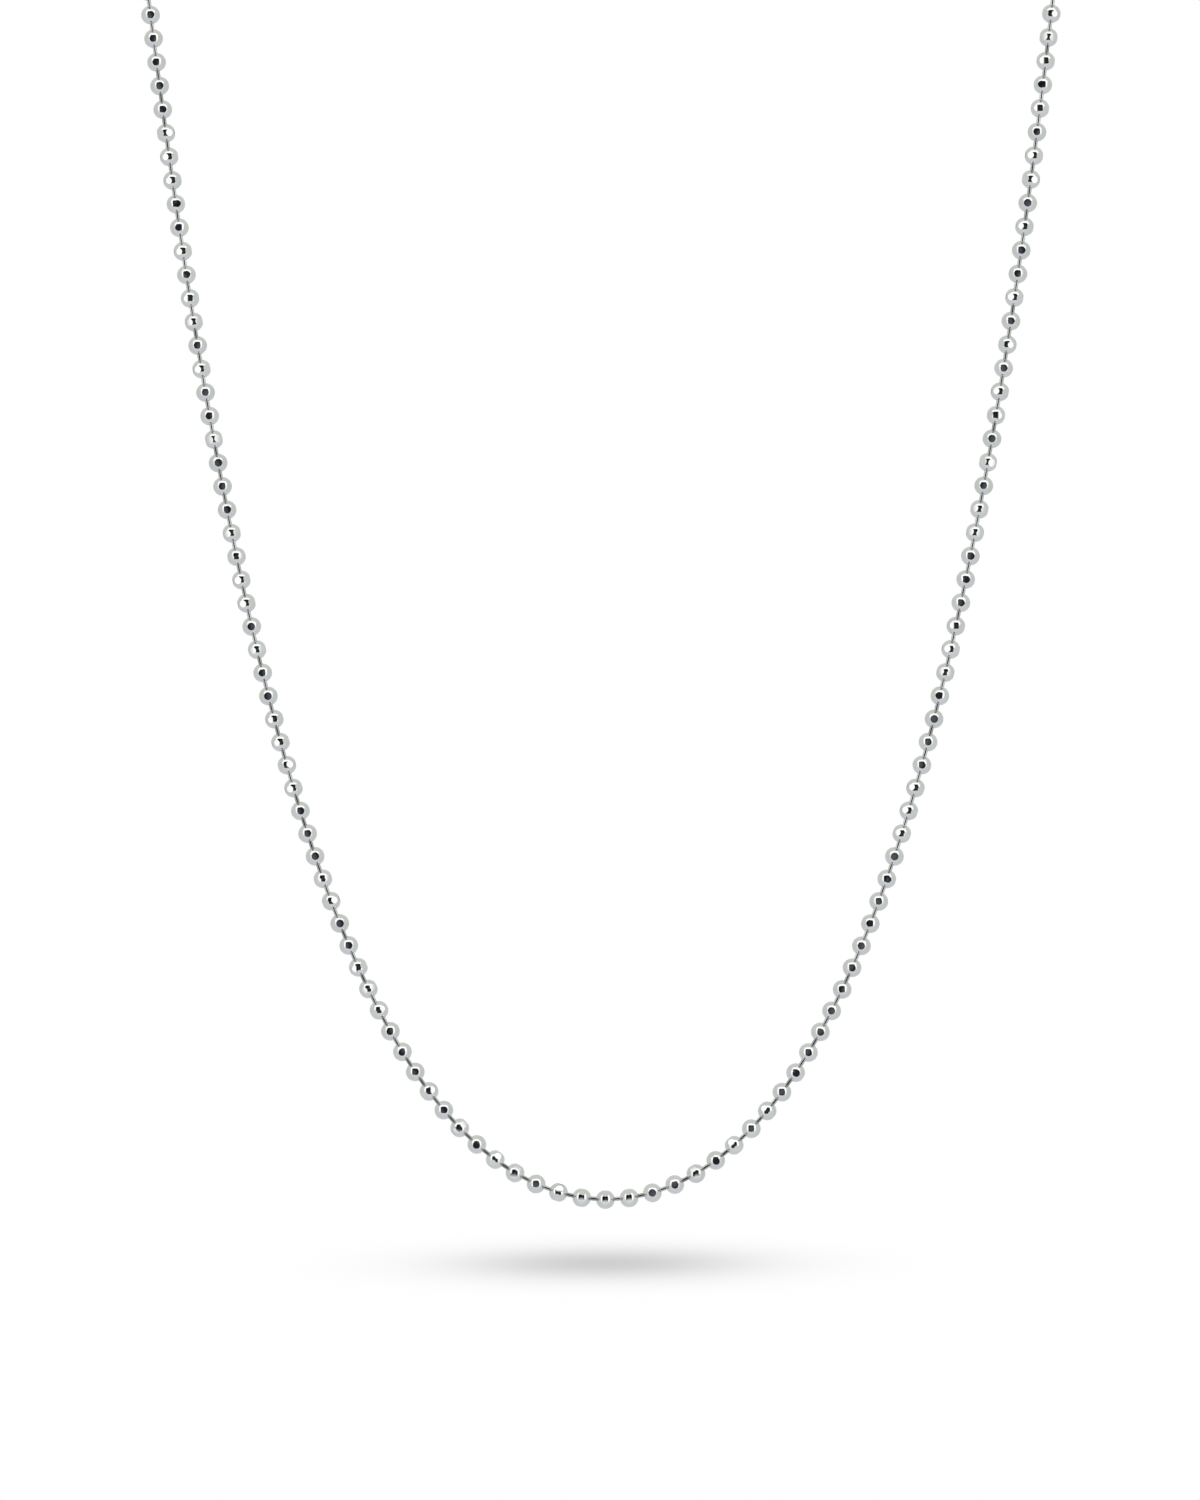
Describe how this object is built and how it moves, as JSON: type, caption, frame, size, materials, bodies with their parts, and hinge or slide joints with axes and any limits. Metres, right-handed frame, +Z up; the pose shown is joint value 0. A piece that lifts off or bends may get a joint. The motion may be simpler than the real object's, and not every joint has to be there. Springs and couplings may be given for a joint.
{
  "type": "ball chain necklace",
  "caption": "Ball chain necklace: hollow metal beads with cut flats, strung on a link wire and closed behind the neck by a slotted sleeve. It hangs as worn.",
  "frame": {"origin": "centre of the arc that the chain makes round the neck", "axes": "+Z up, -Y the front as worn, +X to the right in a front view"},
  "size_m": [0.1048, 0.0588, 0.1831],
  "materials": {
    "bead_silver": "polished",
    "wire_silver": "polished",
    "clasp_silver": "polished"
  },
  "bodies": {
    "root": {"beads": "bead_silver", "link_wire": "wire_silver", "clasp": "clasp_silver"}
  },
  "joints": []
}
